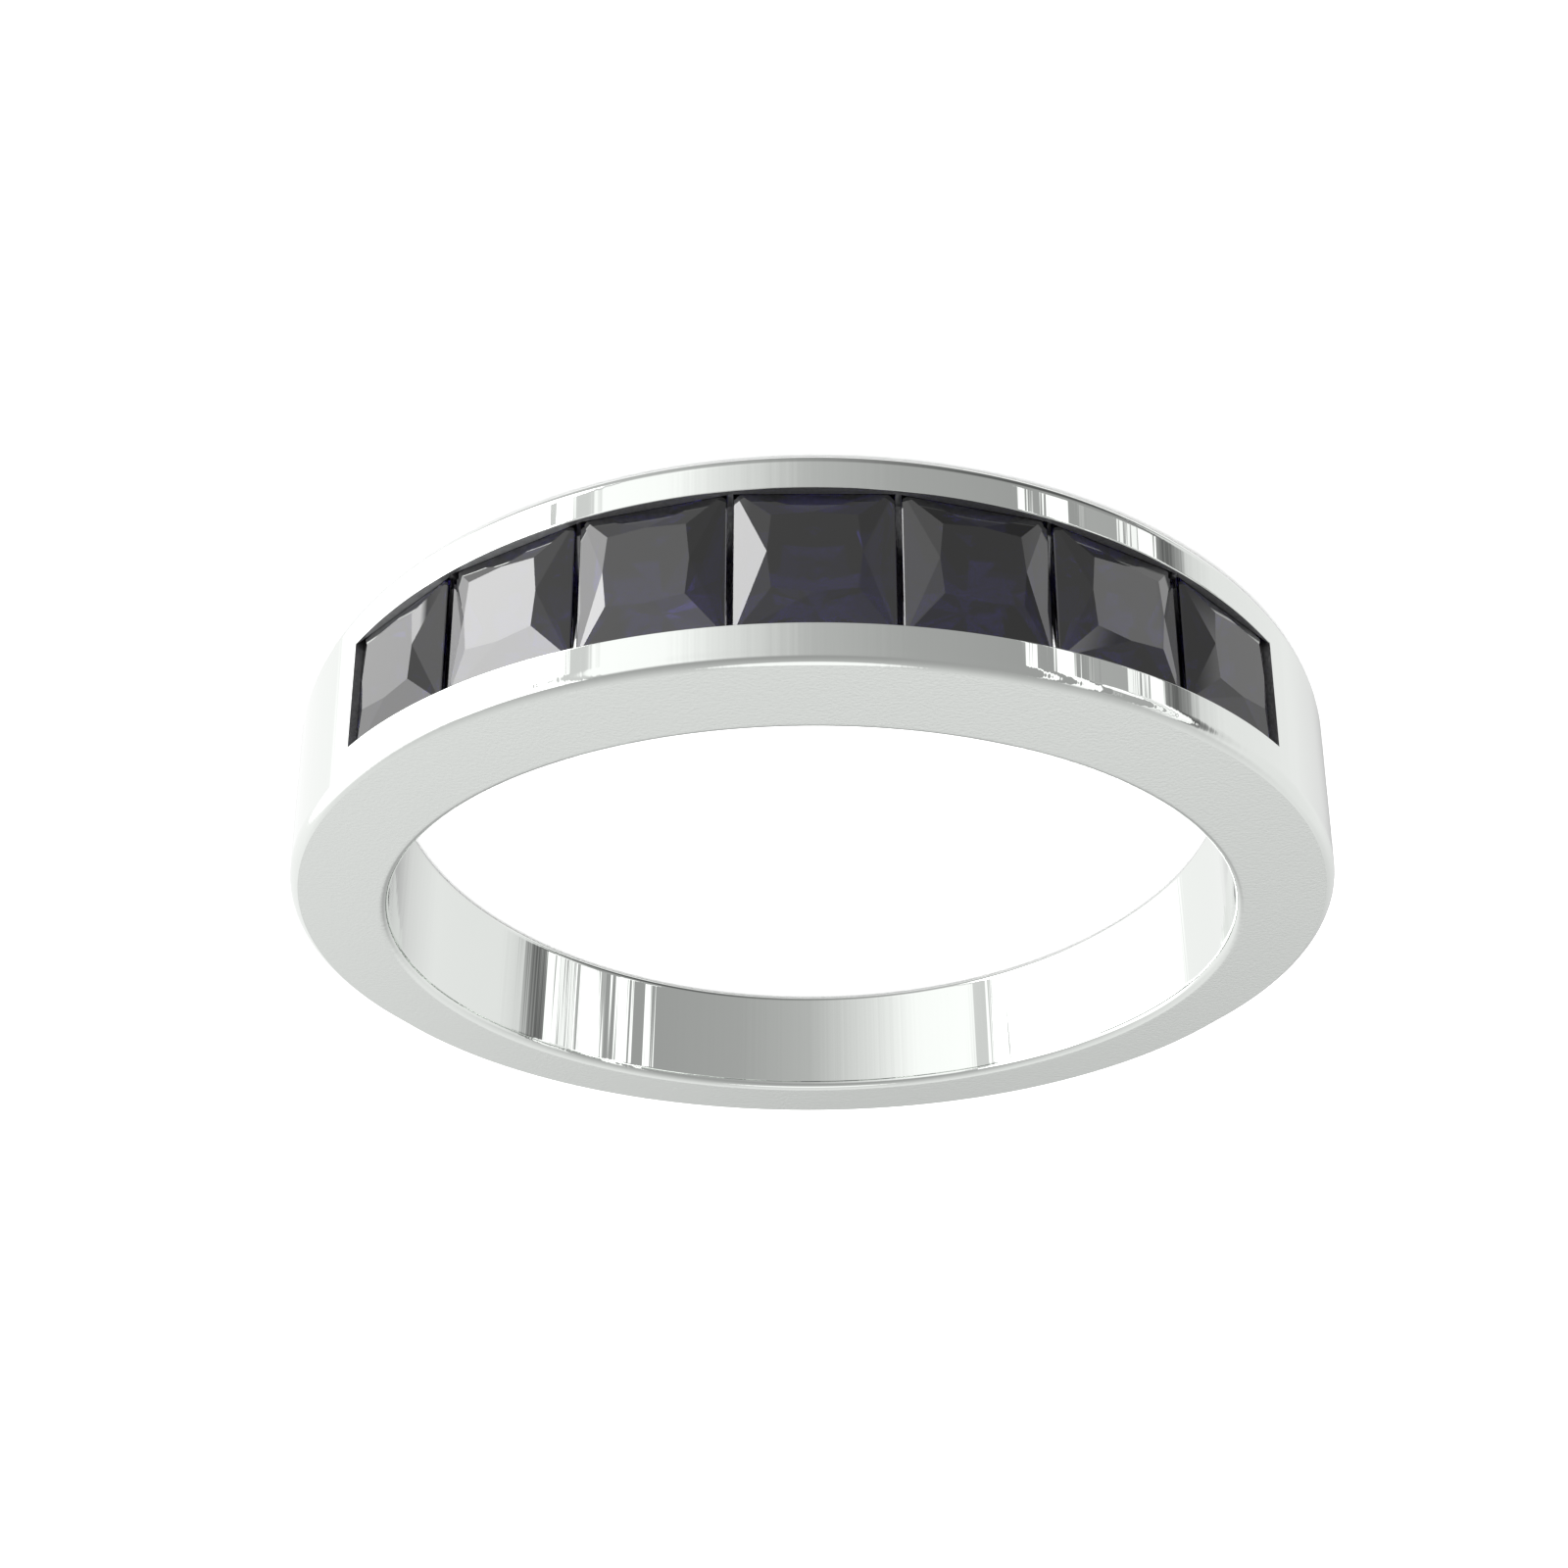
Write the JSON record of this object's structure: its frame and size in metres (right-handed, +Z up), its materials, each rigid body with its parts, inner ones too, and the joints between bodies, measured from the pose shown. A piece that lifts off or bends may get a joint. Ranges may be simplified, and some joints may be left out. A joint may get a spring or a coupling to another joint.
{
  "type": "channel set band ring",
  "caption": "Polished white metal finger ring, wider and thicker at the front, with a row of square dark blue stones set in a channel between two rails.",
  "frame": {"origin": "middle of the footprint, on the surface that the ring lies on", "axes": "+Z up from the surface, -Y towards the stones, +X towards stone_1; the finger hole's axis leans 3.1 degrees from +Z towards +Y, because the side faces taper"},
  "size_m": [0.021, 0.0216, 0.0045],
  "materials": {
    "white_gold": "cast white gold, rhodium plated, polished outside and inside, satin on the two side faces",
    "sapphire": "polished facets on a very dark blue stone"
  },
  "bodies": {
    "root": {"band": "white_gold", "stone_1": "sapphire", "stone_2": "sapphire", "stone_3": "sapphire", "stone_4": "sapphire", "stone_5": "sapphire", "stone_6": "sapphire", "stone_7": "sapphire"}
  },
  "joints": []
}
